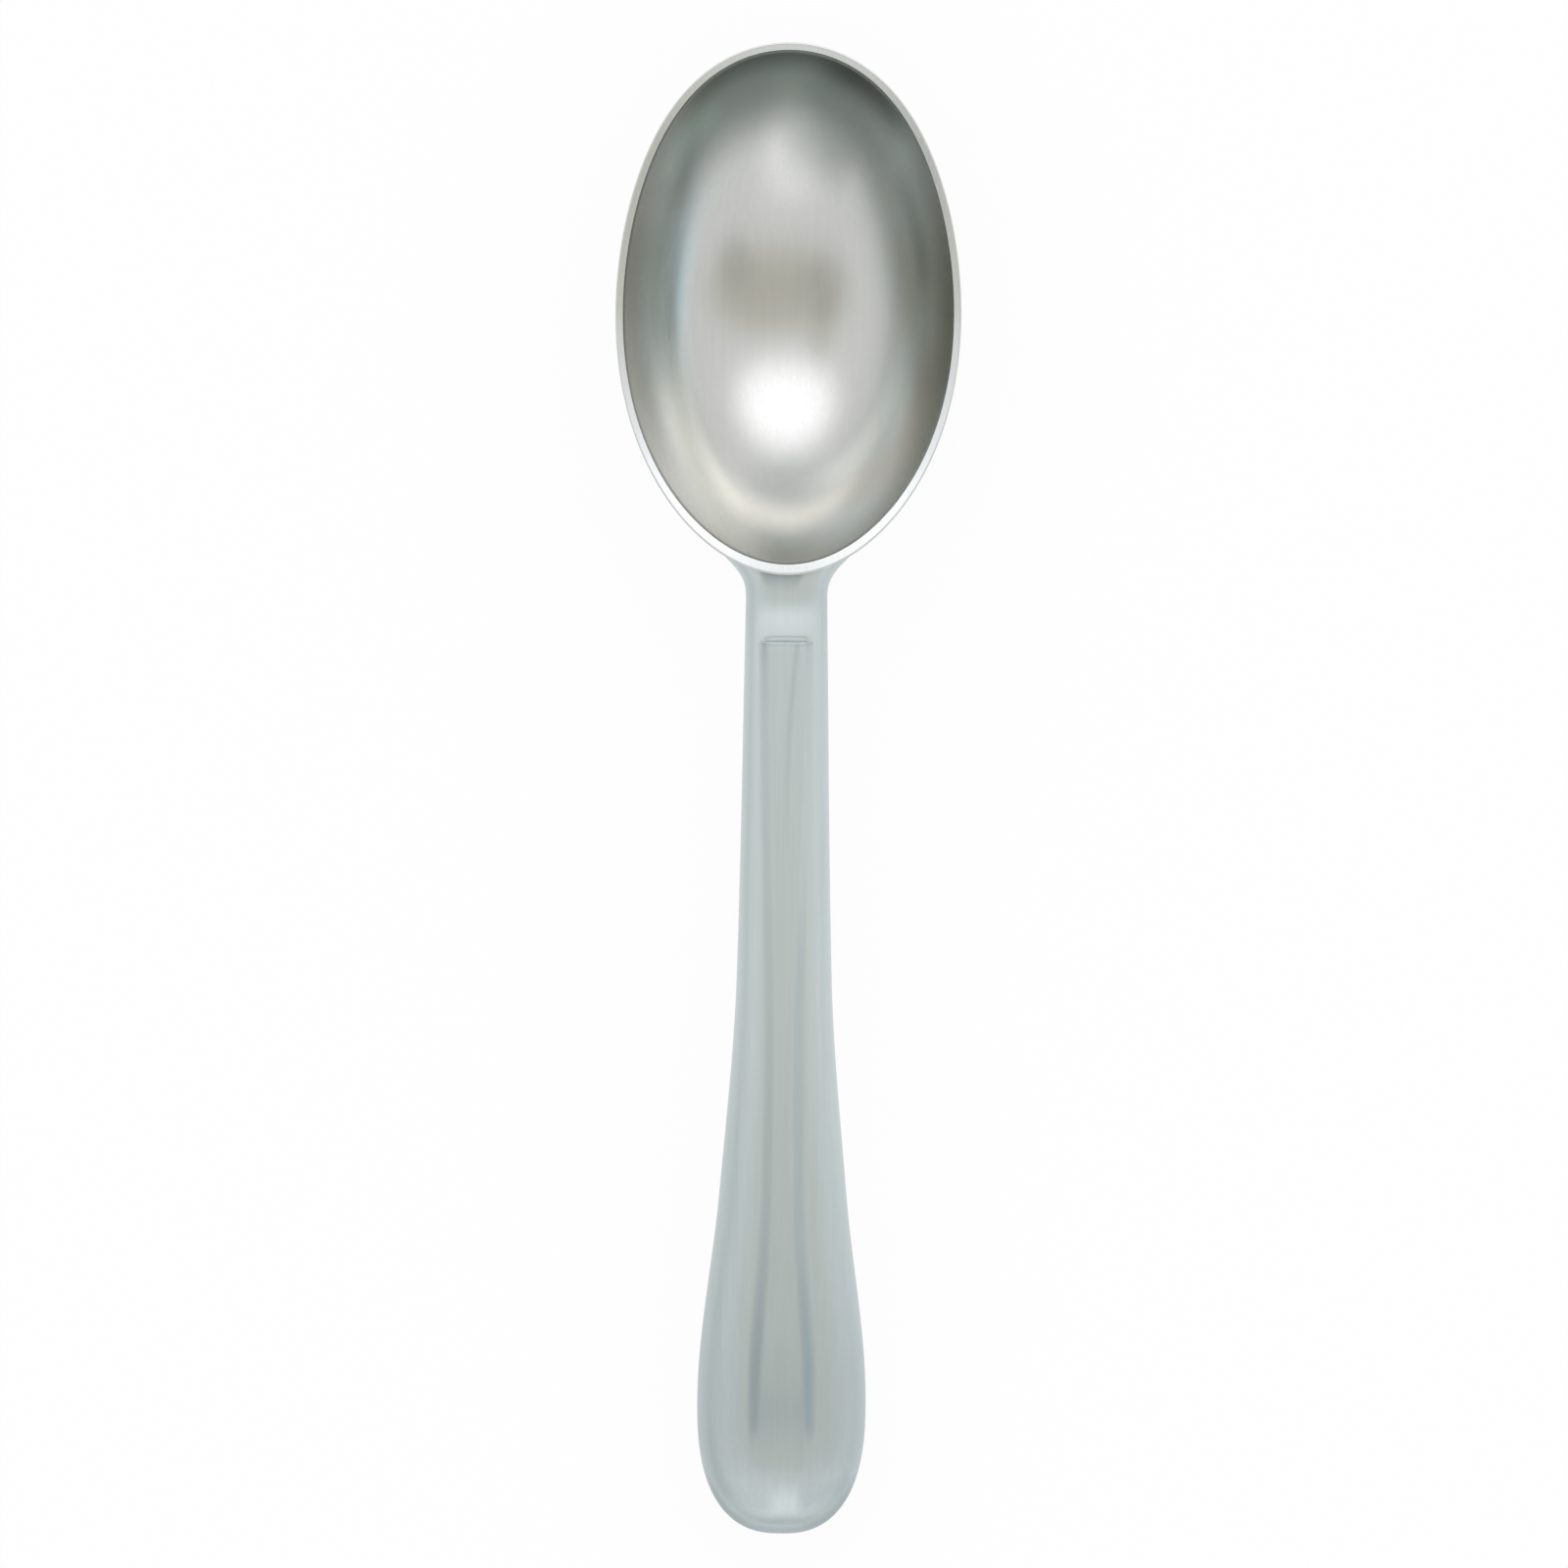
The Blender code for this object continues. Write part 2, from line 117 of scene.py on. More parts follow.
lipGround = {
    "light": (0.725, 0.740, 0.746, 1.0),
    "dark": (0.695, 0.710, 0.716, 1.0),
    "takesPaintedLight": False,
    "roughness": (0.20, 0.28),
    "across": 0.0,
    "lineWidth": 0.0004,
    "lineLength": 0.012,
    "lineDepth": 0.000002,
}

tangRolled = {
    "light": (0.43, 0.44, 0.45, 1.0),
    "dark": (0.36, 0.37, 0.38, 1.0),
    "takesPaintedLight": False,
    "roughness": (0.42, 0.58),
    "across": 0.5,
    "lineWidth": 0.0012,
    "lineLength": 0.020,
    "lineDepth": 0.000010,
}

brushing = {
    "sizes": (1.0, 0.22),     # coarse and fine lines, as shares of a finish's own line sizes
    "details": (3.0, 2.0),
    "shares": (0.65, 0.35),
    "shadeFromTo": (0.35, 0.65),
    "roughFromTo": (0.30, 0.70),
    "bump": 0.35,
}


def brushedMetal(name, finish):
    # lines run along the spoon, in two sizes
    steel = bpy.data.materials.new(name)
    steel.use_nodes = True
    tree = steel.node_tree
    shader = tree.nodes["Principled BSDF"]
    shader.inputs["Metallic"].default_value = 1.0
    coords = tree.nodes.new("ShaderNodeTexCoord")
    patterns = []
    for size, detail in zip(brushing["sizes"], brushing["details"]):
        across = 1 / (finish["lineWidth"] * size)
        along = 1 / (finish["lineLength"] * size)
        mapping = tree.nodes.new("ShaderNodeMapping")
        mapping.inputs["Scale"].default_value = (across, along, across)
        tree.links.new(coords.outputs["Object"], mapping.inputs["Vector"])
        noise = tree.nodes.new("ShaderNodeTexNoise")
        noise.inputs["Scale"].default_value = 1.0
        noise.inputs["Detail"].default_value = detail
        tree.links.new(mapping.outputs["Vector"], noise.inputs["Vector"])
        patterns.append(noise.outputs["Fac"])
    coarseShare, fineShare = brushing["shares"]
    coarse = calc(tree, "MULTIPLY", patterns[0], coarseShare)
    fine = calc(tree, "MULTIPLY", patterns[1], fineShare)
    lines = calc(tree, "ADD", coarse, fine)
    shade = easeBetween(tree, lines, *brushing["shadeFromTo"], 0.0, 1.0)
    colour = mixColours(tree, shade, finish["dark"], finish["light"])
    # the mesh attribute holds painted shade and painted highlights, multiplied into the base colour
    if finish["takesPaintedLight"]:
        paintedLight = tree.nodes.new("ShaderNodeAttribute")
        paintedLight.attribute_name = "paintedLight"
        colour = vectorCalc(tree, "MULTIPLY", colour, paintedLight.outputs["Vector"])
    tree.links.new(colour, shader.inputs["Base Color"])
    smooth, rough = finish["roughness"]
    roughness = easeBetween(tree, patterns[1], *brushing["roughFromTo"], rough, smooth)
    tree.links.new(roughness, shader.inputs["Roughness"])
    if finish["across"] > 0:
        shader.inputs["Anisotropic"].default_value = finish["across"]
        normal = tree.nodes.new("ShaderNodeNewGeometry").outputs["Normal"]
        tangent = vectorCalc(tree, "CROSS_PRODUCT", (0.0, 1.0, 0.0), normal)
        tree.links.new(tangent, shader.inputs["Tangent"])
    addBump(tree, shader, lines, brushing["bump"], finish["lineDepth"])
    return steel


fillerCement = {
    "light": (0.60, 0.58, 0.55, 1.0),
    "dark": (0.48, 0.46, 0.43, 1.0),
    "grain": 0.0011,
    "detail": 4.0,
    "roughness": 0.9,
    "bump": 0.4,
    "grainDepth": 0.00015,
}


def castCement(name, finish):
    cement = bpy.data.materials.new(name)
    cement.use_nodes = True
    tree = cement.node_tree
    shader = tree.nodes["Principled BSDF"]
    coords = tree.nodes.new("ShaderNodeTexCoord")
    noise = tree.nodes.new("ShaderNodeTexNoise")
    noise.inputs["Scale"].default_value = 1 / finish["grain"]
    noise.inputs["Detail"].default_value = finish["detail"]
    tree.links.new(coords.outputs["Object"], noise.inputs["Vector"])
    colour = mixColours(tree, noise.outputs["Fac"], finish["dark"], finish["light"])
    tree.links.new(colour, shader.inputs["Base Color"])
    shader.inputs["Roughness"].default_value = finish["roughness"]
    addBump(tree, shader, noise.outputs["Fac"], finish["bump"], finish["grainDepth"])
    return cement


polishedSteel = brushedMetal("bowl_polished_steel", bowlPolish)
satinSteel = brushedMetal("handle_satin_steel", handleSatin)
groundSteel = brushedMetal("lip_ground_steel", lipGround)
rolledSteel = brushedMetal("tang_rolled_steel", tangRolled)
cement = castCement("filler_cement", fillerCement)
print("finishes ready")


# bowl: one node tree works out every surface from the outline and the rise of the wall

bowlShape = {
    "length": 0.0750,
    "width": 0.0487,
    "widestFromTip": 0.0382,
    "height": 0.0155,         # lip over the foot at the widest point
    "rootRise": 0.0028,       # lip's extra height over the handle
    "tipRise": 0.0008,
    "rimBend": 1.5,
    "wall": 0.0011,
    "footLength": 0.0135,
    "tipFullness": 0.10,
    "rootFullness": -0.05,
    "roundness": 0.5,         # 1 gives a parabolic wall, less a steeper one
    "endRoundness": 0.9,      # the same at the tip and the root
    "lipWidth": 0.00105,
    "lipRootWidth": 0.0015,
    "lipRootFocus": 4.0,
    "lipFall": 0.00015,
    "outerEdge": 0.00018,     # rounding of the lip's outer edge
    "innerEdge": 0.00010,
    "centreY": 0.0668,
    "around": 240,
    "footRows": 4,
    "wallRows": 72,
    "edgeRows": 6,
    "weldGap": 0.000001,
}

# broad areas of painted shade and painted reflection on the bowl's inside: tint, and the shares of the
# way to the lip where it sets in and ends
bowlPaintedLight = {
    "tip": ((0.50, 0.54, 0.51), (0.60, 0.84), None),
    "right": ((0.55, 0.57, 0.52), (0.42, 0.95), None),
    "left": ((1.12, 1.30, 1.38), (0.56, 0.68), (0.82, 0.95)),
    "edge": ((0.61, 0.61, 0.57), (0.86, 1.00), None),
    "crescent": ((1.56, 1.55, 1.52), (0.65, 0.77), (0.79, 0.95)),    # painted highlight, strongest at the lower left
}

# how far the painted shade and highlight areas spread round the bowl
bowlPaintedLightReach = {
    "endFocus": 2.0,          # the higher, the less it spreads round the bowl
    "leftFocus": 6.0,
    "leftPastMiddle": 0.7,    # how far it runs on towards the root
    "crescentAt": 225,        # degrees round the bowl
    "crescentFrom": 0.72,     # cosine of the angle to its ends
    "crescentLean": 0.24,     # it lies nearer the lip towards the root
    "crescentLeanAt": 0.83,
}

# small soft painted highlights and painted shadows on the inside: degrees round the bowl, spread, share
# to the lip, reach, tint
bowlPaintedReflections = {
    "brow": (85, 55, 1.00, 0.10, (0.47, 0.48, 0.47)),
    "streak": (62, 22, 0.965, 0.12, (0.48, 0.49, 0.48)),
    "tipRight": (75, 23, 0.64, 0.17, (0.72, 0.75, 0.75)),
    "upperLeft": (132, 18, 0.89, 0.09, (1.22, 1.34, 1.36)),
    "leftSide": (170, 30, 0.755, 0.07, (1.20, 1.20, 1.24)),
    "rightSide": (23, 20, 0.83, 0.08, (0.77, 0.77, 0.76)),
    "lowerLeft": (215, 45, 1.00, 0.13, (1.30, 1.29, 1.28)),
    "lowerRight": (325, 35, 0.86, 0.14, (0.82, 0.74, 0.69)),
    "innerRight": (322, 55, 0.695, 0.08, (1.24, 1.24, 1.23)),
    "root": (274, 48, 0.81, 0.11, (1.13, 1.11, 1.10)),
    "middle": (345, 45, 0.22, 0.14, (0.88, 0.87, 0.84)),
}


def bowlTree():
    tree = bpy.data.node_groups.new("bowlForm", "GeometryNodeTree")
    for key, value in bowlShape.items():
        kind = "NodeSocketInt" if isinstance(value, int) else "NodeSocketFloat"
        tree.interface.new_socket(name=key, in_out="INPUT", socket_type=kind)
    for key in ("wallSteel", "lipSteel"):
        tree.interface.new_socket(name=key, in_out="INPUT", socket_type="NodeSocketMaterial")
    tree.interface.new_socket(name="Geometry", in_out="OUTPUT", socket_type="NodeSocketGeometry")
    size = tree.nodes.new("NodeGroupInput").outputs

    def add(a, b):
        return calc(tree, "ADD", a, b)

    def less(a, b):
        return calc(tree, "SUBTRACT", a, b)

    def times(a, b):
        return calc(tree, "MULTIPLY", a, b)

    def over(a, b):
        return calc(tree, "DIVIDE", a, b)

    def power(a, b):
        return calc(tree, "POWER", a, b)

    # each grid's x runs once round the bowl, its y runs along the profile
    place = tree.nodes.new("GeometryNodeInputPosition")
    spread = tree.nodes.new("ShaderNodeSeparateXYZ")
    tree.links.new(place.outputs[0], spread.inputs[0])
    angle = times(add(spread.outputs["X"], 0.5), 2 * math.pi)
    run = add(spread.outputs["Y"], 0.5)
    sine = calc(tree, "SINE", angle)
    cosine = calc(tree, "COSINE", angle)

    # outline of the lip, and the direction straight in from it
    half = times(size["width"], 0.5)
    reach = times(size["length"], 0.5)
    skew = less(size["widestFromTip"], reach)
    even = times(add(size["tipFullness"], size["rootFullness"]), 0.5)
    odd = times(less(size["tipFullness"], size["rootFullness"]), 0.5)
    sineSquared = times(sine, sine)
    fullness = add(1.0, times(sineSquared, add(even, times(odd, sine))))
    edgeX = times(times(half, cosine), fullness)
    edgeY = add(times(reach, sine), times(skew, sineSquared))
    swelling = add(times(even, 2.0), times(times(odd, 3.0), sine))
    bulge = times(times(times(cosine, cosine), sine), swelling)
    alongX = times(half, less(bulge, times(sine, fullness)))
    alongY = times(cosine, add(reach, times(times(skew, 2.0), sine)))
    speed = calc(tree, "SQRT", add(times(alongX, alongX), times(alongY, alongY)))
    inX = over(times(alongY, -1.0), speed)
    inY = over(alongX, speed)

    # lip: higher towards both ends, wider over the handle
    towardsTip = calc(tree, "MAXIMUM", sine, 0.0)
    towardsRoot = calc(tree, "MAXIMUM", times(sine, -1.0), 0.0)
    tipLift = times(power(towardsTip, size["rimBend"]), size["tipRise"])
    rootLift = times(power(towardsRoot, size["rimBend"]), size["rootRise"])
    lift = add(tipLift, rootLift)
    extra = times(less(size["lipRootWidth"], size["lipWidth"]), power(towardsRoot, size["lipRootFocus"]))
    lip = add(size["lipWidth"], extra)
    foot = over(size["footLength"], size["length"])
    footSquared = times(foot, foot)
    low = less(size["height"], size["outerEdge"])
    lipInside = less(size["height"], size["lipFall"])
    rounder = times(less(size["endRoundness"], size["roundness"]), sineSquared)
    roundness = add(size["roundness"], rounder)
    steep = less(1.0, roundness)

    def rise(share):
        squared = times(share, share)
        return times(squared, add(roundness, times(steep, squared)))

    def lifted(share):
        pastFoot = calc(tree, "MAXIMUM", less(times(share, share), footSquared), 0.0)
        return times(lift, power(over(pastFoot, less(1.0, footSquared)), 2.0))

    def store(sheet, name, kind, domain, value):
        mark = tree.nodes.new("GeometryNodeStoreNamedAttribute")
        mark.data_type = kind
        mark.domain = domain
        mark.inputs["Name"].default_value = name
        plug(tree, mark.inputs["Value"], value)
        tree.links.new(sheet, mark.inputs["Geometry"])
        return mark.outputs["Geometry"]

    def surface(rows, share, inset, height, liftHere, paintedLight=(1.0, 1.0, 1.0)):
        grid = tree.nodes.new("GeometryNodeMeshGrid")
        tree.links.new(add(size["around"], 1), grid.inputs["Vertices X"])
        tree.links.new(add(rows, 1), grid.inputs["Vertices Y"])
        sheet = store(grid.outputs["Mesh"], "paintedLight", "FLOAT_VECTOR", "POINT", paintedLight)
        spot = tree.nodes.new("ShaderNodeCombineXYZ")
        x = times(add(edgeX, times(inX, inset)), share)
        y = times(add(edgeY, times(inY, inset)), share)
        feed(tree, spot, (x, add(y, size["centreY"]), add(height, liftHere)))
        shape = tree.nodes.new("GeometryNodeSetPosition")
        tree.links.new(sheet, shape.inputs["Geometry"])
        tree.links.new(spot.outputs[0], shape.inputs["Position"])
        return shape.outputs["Geometry"]

    quarter = times(run, math.pi / 2)
    turn = less(1.0, calc(tree, "COSINE", quarter))
    climb = calc(tree, "SINE", quarter)
    footRise = rise(foot)
    outShare = add(foot, times(less(1.0, foot), run))
    outHeight = times(low, over(less(rise(outShare), footRise), less(1.0, footRise)))
    inShare = less(1.0, run)
    depth = less(less(lipInside, size["innerEdge"]), size["wall"])
    inHeight = add(size["wall"], times(depth, rise(inShare)))
    flat = less(less(lip, size["innerEdge"]), size["outerEdge"])

    # painted shade and painted highlights on the inside: each area or mark has a weight and a tint
    def positive(value):
        return calc(tree, "MINIMUM", calc(tree, "MAXIMUM", value, 0.0), 1.0)

    def facing(degrees):
        turned = math.radians(degrees)
        return add(times(cosine, math.cos(turned)), times(sine, math.sin(turned)))

    focus = bowlPaintedLightReach
    toLeft = power(positive(times(cosine, -1.0)), focus["leftFocus"])
    lean = times(add(cosine, focus["crescentLeanAt"]), focus["crescentLean"])
    roundBowl = {
        "tip": power(positive(sine), focus["endFocus"]),
        "right": power(positive(cosine), focus["endFocus"]),
        "left": times(toLeft, positive(add(sine, focus["leftPastMiddle"]))),
        "edge": positive(less(cosine, sine)),
        "crescent": easeBetween(tree, facing(focus["crescentAt"]), focus["crescentFrom"], 1.0, 0.0, 1.0),
    }
    stretches = []
    for name, (colour, setsIn, ends) in bowlPaintedLight.items():
        share = less(inShare, lean) if name == "crescent" else inShare
        weight = times(roundBowl[name], easeBetween(tree, share, *setsIn, 0.0, 1.0))
        if ends:
            weight = times(weight, easeBetween(tree, share, *ends, 1.0, 0.0))
        stretches.append((weight, colour))
    # each painted highlight or painted shadow adds its own weight and tint
    for degrees, spreadTo, shareAt, shareReach, colour in bowlPaintedReflections.values():
        off = calc(tree, "ABSOLUTE", less(inShare, shareAt))
        beside = easeBetween(tree, facing(degrees), math.cos(math.radians(spreadTo)), 1.0, 0.0, 1.0)
        weight = times(beside, easeBetween(tree, off, 0.0, shareReach, 1.0, 0.0))
        stretches.append((weight, colour))
    plain = (1.0, 1.0, 1.0)
    paintedLight = plain
    for weight, colour in stretches:
        change = tuple(part - 1.0 for part in colour)
        weighted = vectorCalc(tree, "MULTIPLY_ADD", change, weight, plain)
        paintedLight = vectorCalc(tree, "MULTIPLY", paintedLight, weighted)

    walls = [
        surface(size["footRows"], times(foot, run), 0.0, 0.0, 0.0),
        surface(size["wallRows"], outShare, 0.0, outHeight, lifted(outShare)),
        surface(size["wallRows"], inShare, lip, inHeight, lifted(inShare), paintedLight),
    ]
    outerIn = times(size["outerEdge"], turn)
    flatIn = add(size["outerEdge"], times(flat, run))
    innerIn = add(less(lip, size["innerEdge"]), times(size["innerEdge"], climb))
    rims = [
        surface(size["edgeRows"], 1.0, outerIn, add(low, times(size["outerEdge"], climb)), lift),
        surface(size["edgeRows"], 1.0, flatIn, less(size["height"], times(size["lipFall"], run)), lift),
        surface(size["edgeRows"], 1.0, innerIn, less(lipInside, times(size["innerEdge"], turn)), lift),
    ]

    join = tree.nodes.new("GeometryNodeJoinGeometry")
    for sheet in walls:
        tree.links.new(sheet, join.inputs[0])
    for sheet in rims:
        tree.links.new(store(sheet, "lipFace", "BOOLEAN", "FACE", True), join.inputs[0])
    weld = tree.nodes.new("GeometryNodeMergeByDistance")
    smooth = tree.nodes.new("GeometryNodeSetShadeSmooth")
    realize = tree.nodes.new("GeometryNodeRealizeInstances")
    steel = tree.nodes.new("GeometryNodeSetMaterial")
    rimSteel = tree.nodes.new("GeometryNodeSetMaterial")
    onLip = tree.nodes.new("GeometryNodeInputNamedAttribute")
    onLip.data_type = "BOOLEAN"
    onLip.inputs["Name"].default_value = "lipFace"
    output = tree.nodes.new("NodeGroupOutput")
    chain = (join, weld, smooth, realize, steel, rimSteel, output)
    for step, following in zip(chain, chain[1:]):
        tree.links.new(step.outputs[0], following.inputs[0])
    tree.links.new(size["weldGap"], weld.inputs["Distance"])
    tree.links.new(size["wallSteel"], steel.inputs["Material"])
    tree.links.new(size["lipSteel"], rimSteel.inputs["Material"])
    tree.links.new(onLip.outputs["Attribute"], rimSteel.inputs["Selection"])
    return tree


def placePiece(name, mesh):
    piece = bpy.data.objects.new(name, mesh)
    bpy.context.scene.collection.objects.link(piece)
    return piece


def settle(piece):
    # keep what the modifiers make as a plain mesh
    bpy.context.view_layer.update()
    graph = bpy.context.evaluated_depsgraph_get()
    made = bpy.data.meshes.new_from_object(piece.evaluated_get(graph), depsgraph=graph)
    made.name = piece.name
    piece.modifiers.clear()
    piece.data = made
    return piece


def makeBowl():
    bowl = placePiece("spoon_bowl", bpy.data.meshes.new("spoon_bowl"))
    modifier = bowl.modifiers.new("bowlForm", "NODES")
    tree = bowlTree()
    modifier.node_group = tree
    values = dict(bowlShape, wallSteel=polishedSteel, lipSteel=groundSteel)
    for item in tree.interface.items_tree:
        if item.in_out == "INPUT":
            modifier[item.identifier] = values[item.name]
    return settle(bowl)


bowl = makeBowl()
print("bowl", len(bowl.data.polygons), "faces")


# handle: two half shells lofted through fine sections, "back" is the distance behind the lip

handleShape = {
    "rootY": 0.030,
    "shank": 0.0570,
    "taper": 0.0300,
    "swell": 0.0295,
    "butt": 0.0185,
    "neckWidth": 0.01145,
    "waistWidth": 0.0134,
    "taperWidth": 0.0179,
    "buttWidth": 0.02375,
    "buttFullness": 2.5,      # 2 is an ellipse, more is squarer
    "buttSideFullness": 3.5,
    "sectionFullness": 3.2,
    "neckTop": 0.0170,
    "neckThick": 0.0076,
    "crownBack": 0.0450,      # where the handle's top is highest
    "crownRise": 0.0007,
    "crownThick": 0.0100,
    "buttThick": 0.0150,
    "landLength": 0.0185,     # flat that the handle lies on
    "landWidth": 0.0060,
    "landNeckShare": 0.2,
    "flareBack": 0.0034,      # from here the neck's sides flare towards the bowl
    "flareLength": 0.0084,
    "flareWidth": 0.0046,
    "flareEase": 1.5,
    "heelDrop": 0.0040,       # how far the neck's underside runs down the bowl
    "heelBlend": 0.7,         # share of the bowl's slope that it takes up there
    "heelTaper": 0.9,
    "dip": 0.00030,           # saddle in the top of the neck, behind the lip
    "dipBack": 0.0040,
    "dipReach": 0.0030,
    "wall": 0.0010,
    "sink": 0.0004,           # how deep the neck runs into the bowl's wall
    "sharpFrom": 40,          # degrees between faces
}

fluteShape = {
    "back": 0.0092,
    "depth": 0.00022,
    "buttDepth": 0.00045,
    "startBand": 0.00260,     # plain band left beside the flute
    "midBack": 0.0320,
    "midBand": 0.00330,
    "waistBand": 0.00436,
    "buttBand": 0.00740,
    "startEdge": 0.00140,     # length of the step at the squared front end
    "sideEdge": 0.00110,      # width of the sloping sides, near the neck
    "waistEdge": 0.00132,     # at the waist
    "buttEdge": 0.00200,      # and near the butt
    "corner": 0.0004,
    "fade": 0.0100,
    "fromButt": 0.0085,
}

# painted shade on the flute, as (back, shade): 1 is fully shaded, 0 is unshaded
flutePaintedShade = {
    "lineShade": ((0.0090, 0.80), (0.0140, 0.55), (0.0240, 0.42), (0.0570, 0.45), (0.0950, 0.66),
                  (0.1120, 1.00), (0.1190, 1.00), (0.1230, 0.60)),
    "lineShare": 0.4,         # where the painted shade line lies on the sloping side, from the floor up
    "lineReach": 0.9,         # and how far it spreads, in widths of that side
    # how much of the painted shade line there is on the right
    "rightLine": ((0.0090, 0.80), (0.0110, 0.40), (0.0400, 0.45), (0.0570, 1.00)),
    "floorShade": ((0.0085, 0.20), (0.0570, 0.20), (0.0980, 0.30), (0.1120, 0.46), (0.1200, 0.66)),
    "fromButt": 0.0060,       # the painted shade on the floor fades out a little later than the flute
    "creaseShade": ((0.0090, 0.50), (0.0160, 0.50), (0.0320, 0.35), (0.0420, 0.20)),
    "creaseAside": ((0.0090, 0.0016), (0.0155, 0.0010), (0.0240, 0.0004), (0.0320, 0.0003)),
    "creaseReach": 0.0008,    # half width of the faint painted dark reflection line on the floor
    "stepShade": 0.42,        # painted shade across the squared front end
    "stepReach": 0.0010,
    # colour that the painted shade multiplies in where it is strongest
    "paintedShadeColour": (0.602, 0.642, 0.668),
}

# painted shadow wedge on the neck, behind the lip
neckPaintedShadow = {
    "shade": 0.90,
    "length": 0.0036,
    "halfWidth": 0.0030,
    "aside": -0.0007,
    "soft": 0.0010,
}

# painted shade and painted highlights for the rest of the handle, above and below
handlePaintedLight = {
    "shade": ((0.0000, 0.00), (0.0045, 0.12), (0.0105, 0.00), (0.0500, 0.00), (0.0980, 0.25),
              (0.1140, 0.34), (0.1230, 0.36), (0.1270, 0.32), (0.1310, 0.00)),
    "buttShade": 0.45,        # painted shade beside the highlight at the butt
    "rightShare": 1.35,       # more so on the right
    "spot": 0.0008,
    "spotAside": 0.0005,
    "spotSoft": 0.0022,
    "buttFromTo": (0.1200, 0.1320),
    "bright": -0.3,           # painted highlight inside the end's outline, painted shade on the outline itself
    "brightRim": ((0.80, 0.0), (0.86, 0.5), (0.90, 0.75), (0.93, 0.5), (0.95, 0.0)),
    "brightFromTo": (0.60, 0.90),     # shares of the butt's length
    "shadedRim": ((0.93, 0.0), (0.952, 0.62), (0.98, 0.85)),
    "shadedRimFromTo": (0.35, 0.75),
}

# how finely the shells are made, and the bowl's core that cuts them
loftSteps = {
    "neck": 34,
    "fluteStart": 40,
    "handle": 76,
    "butt": 34,
    "beforeFlute": 0.0012,    # the fine stretch where the flute starts
    "pastFlute": 0.0020,
    "side": 18,
    "slope": 8,
    "floor": 8,
    "under": 22,
    "coreRows": 48,
    "coreAround": 160,
    "coreAbove": 0.0020,      # how far the core stands over the lip
}


def smoothStep(share):
    share = min(max(share, 0.0), 1.0)
    return share * share * (3 - 2 * share)


def stepBetween(value, start, end):
    return smoothStep((value - start) / (end - start))


def hump(off):
    # 1 in the middle, softly down to 0 at a distance of 1
    return max(1 - off ** 2, 0.0) ** 2


def superellipse(share, exponent):
    return (1 - min(share, 1.0) ** exponent) ** (1 / exponent)


def ease(stations, at):
    # smooth curve through (distance, value) stations, level at the last one
    if at <= stations[0][0]:
        return stations[0][1]
    chords = [(b[1] - a[1]) / (b[0] - a[0]) for a, b in zip(stations, stations[1:])]
    slopes = [chords[0]]
    for before, after in zip(chords, chords[1:]):
        slopes.append(2 * before * after / (before + after) if before * after > 0 else 0.0)
    slopes.append(0.0)
    for i, ((start, low), (end, high)) in enumerate(zip(stations, stations[1:])):
        if at <= end:
            span = end - start
            t = (at - start) / span
            bend = slopes[i] * t * (1 - t) ** 2 - slopes[i + 1] * t * t * (1 - t)
            return low + (high - low) * t * t * (3 - 2 * t) + span * bend
    return stations[-1][1]


# short names, for the formulas below
h = handleShape
f = fluteShape
b = bowlShape
handleLength = h["shank"] + h["taper"] + h["swell"] + h["butt"]
buttBack = handleLength - h["butt"]
landBack = buttBack - h["landLength"]
crownTop = h["neckTop"] + h["crownRise"]
neckBottom = h["neckTop"] - h["neckThick"]
crownBottom = crownTop - h["crownThick"]
rootFromCentre = b["length"] - b["widestFromTip"]
footShare = b["footLength"] / b["length"]
tiny = 1e-9                   # keeps divisions clear of zero at the butt's end


def wallRise(share, sine):
    roundness = b["roundness"] + (b["endRoundness"] - b["roundness"]) * sine ** 2
    return roundness * share ** 2 + (1 - roundness) * share ** 4


def liftShare(share):
    if share <= footShare:
        return 0.0
    return ((share ** 2 - footShare ** 2) / (1 - footShare ** 2)) ** 2


def outsideHeight(share, sine):
    footRise = wallRise(footShare, sine)
    return b["height"] * (wallRise(share, sine) - footRise) / (1 - footRise)


def rootHeight(share):
    return outsideHeight(share, -1.0) + b["rootRise"] * liftShare(share)


def rootReach(height, halvings=40):
    low, high = footShare, 1.0
    for _ in range(halvings):
        middle = (low + high) / 2
        if rootHeight(middle) < height:
            low = middle
        else:
            high = middle
    return high


def rootSlope(share, step=0.0001):
    return (rootHeight(share + step) - rootHeight(share - step)) / (2 * step * rootFromCentre)


heelHeight = neckBottom - h["heelDrop"]
heelShare = rootReach(heelHeight)
heelLength = rootFromCentre * (1 - heelShare)
heelSlope = h["heelBlend"] * rootSlope(heelShare)
neckFront = -heelLength - b["wall"]


def halfWidth(back):
    stations = [
        (h["flareBack"], h["neckWidth"]),
        (h["shank"], h["waistWidth"]),
        (h["shank"] + h["taper"], h["taperWidth"]),
        (buttBack, h["buttWidth"]),
    ]
    along = min(max(h["flareBack"] - back, 0.0) / h["flareLength"], 1.0)
    half = ease(stations, back) / 2 + h["flareWidth"] * smoothStep(along ** h["flareEase"])
    flareFront = h["flareBack"] - h["flareLength"]
    if back < flareFront:
        half *= superellipse(h["heelTaper"] * (flareFront - back) / (flareFront - neckFront), 2)
    return half


def archTop(back):
    if back < h["crownBack"]:
        return crownTop - h["crownRise"] * (1 - back / h["crownBack"]) ** 2
    past = (back - h["crownBack"]) / (buttBack - h["crownBack"])
    return crownTop - (crownTop - h["buttThick"]) * past ** 2


def underLine(back):
    return ease([(0.0, neckBottom), (h["crownBack"], crownBottom), (landBack, 0.0)], back)


